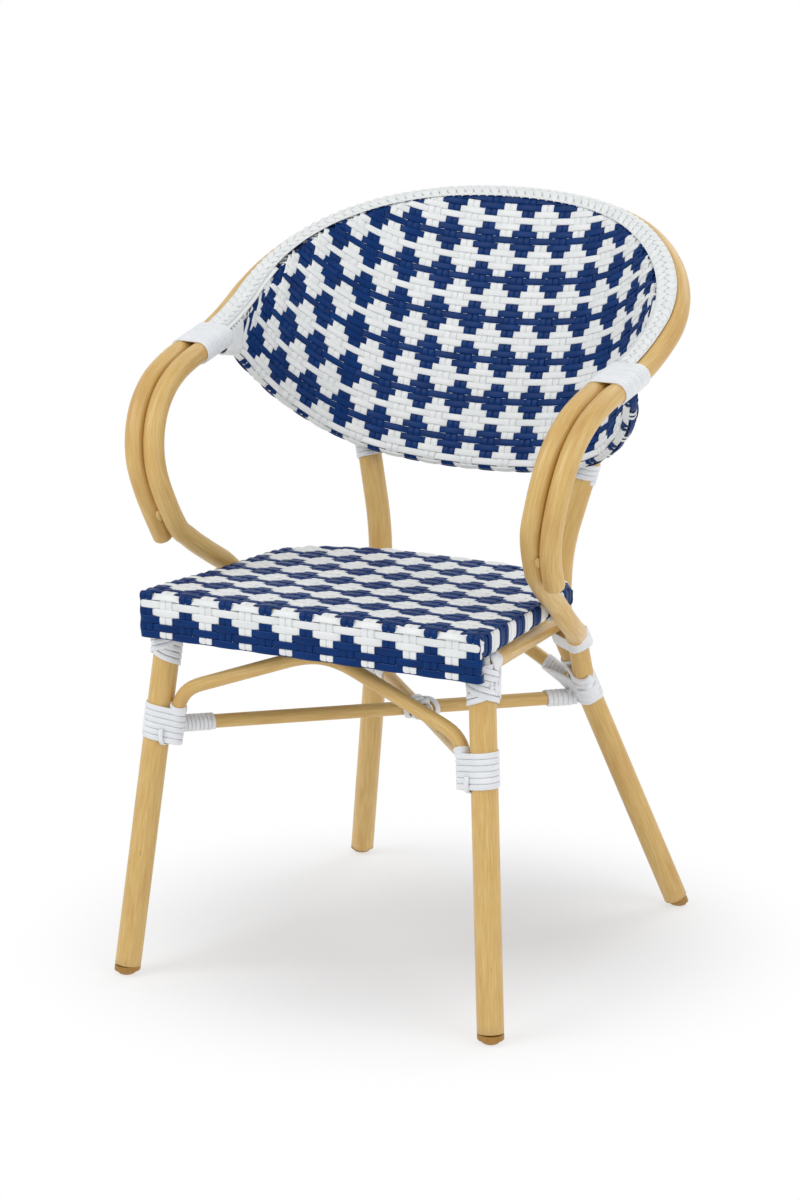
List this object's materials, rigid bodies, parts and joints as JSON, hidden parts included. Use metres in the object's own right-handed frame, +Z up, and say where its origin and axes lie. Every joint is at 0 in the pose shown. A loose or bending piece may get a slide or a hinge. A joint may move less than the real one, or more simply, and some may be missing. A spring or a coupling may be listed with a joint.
{
  "type": "bistro armchair",
  "caption": "Bistro armchair with a bamboo-look painted tube frame, a flat woven seat, a bowl-shaped woven back with a braided edge, and wound strand lashings at the joints.",
  "frame": {"origin": "on the floor under the middle of the chair's box", "axes": "+X towards the sitter's left, -Y towards the front of the seat, +Z up"},
  "size_m": [0.587, 0.5548, 0.858],
  "materials": {
    "bamboo_paint": "satin bamboo-look paint on aluminium tube",
    "white_strand": "satin flat plastic strand",
    "weave_strand": "woven navy and white flat strands, the mean of both",
    "bare_rod": "plain drawn metal, hidden by the weave",
    "glide_plastic": "moulded tan plastic"
  },
  "bodies": {
    "root": {"front_leg_left": "bamboo_paint", "rear_leg_left": "bamboo_paint", "arm_tube_left": "bamboo_paint", "seat_side_rail_left": "bamboo_paint", "arm_weld_left": "bamboo_paint", "front_glide_left": "glide_plastic", "rear_glide_left": "glide_plastic", "front_leg_right": "bamboo_paint", "rear_leg_right": "bamboo_paint", "arm_tube_right": "bamboo_paint", "seat_side_rail_right": "bamboo_paint", "arm_weld_right": "bamboo_paint", "front_glide_right": "glide_plastic", "rear_glide_right": "glide_plastic", "back_hoop": "bamboo_paint", "front_arch": "bamboo_paint", "rear_arch": "bamboo_paint", "stretcher_long": "bamboo_paint", "stretcher_front_half": "bamboo_paint", "stretcher_rear_half": "bamboo_paint", "seat_weave": "weave_strand", "seat_frame": "bare_rod", "seat_apron_rail": "bare_rod", "back_weave": "weave_strand", "back_shell_rod": "bare_rod", "back_braid": "white_strand", "arm_wrap_left": "white_strand", "front_leg_top_wrap_left": "white_strand", "rail_wrap_left": "white_strand", "front_brace_wrap_left": "white_strand", "rear_brace_wrap_left": "white_strand", "rear_arch_wrap_left": "white_strand", "back_post_wrap_left": "white_strand", "stretcher_front_wrap_left": "white_strand", "stretcher_rear_wrap_left": "white_strand", "arm_strap_left": "white_strand", "rear_leg_band_left": "white_strand", "arm_wrap_right": "white_strand", "front_leg_top_wrap_right": "white_strand", "rail_wrap_right": "white_strand", "front_brace_wrap_right": "white_strand", "rear_brace_wrap_right": "white_strand", "rear_arch_wrap_right": "white_strand", "back_post_wrap_right": "white_strand", "stretcher_front_wrap_right": "white_strand", "stretcher_rear_wrap_right": "white_strand", "arm_strap_right": "white_strand", "rear_leg_band_right": "white_strand", "cross_wrap": "white_strand"}
  },
  "joints": []
}
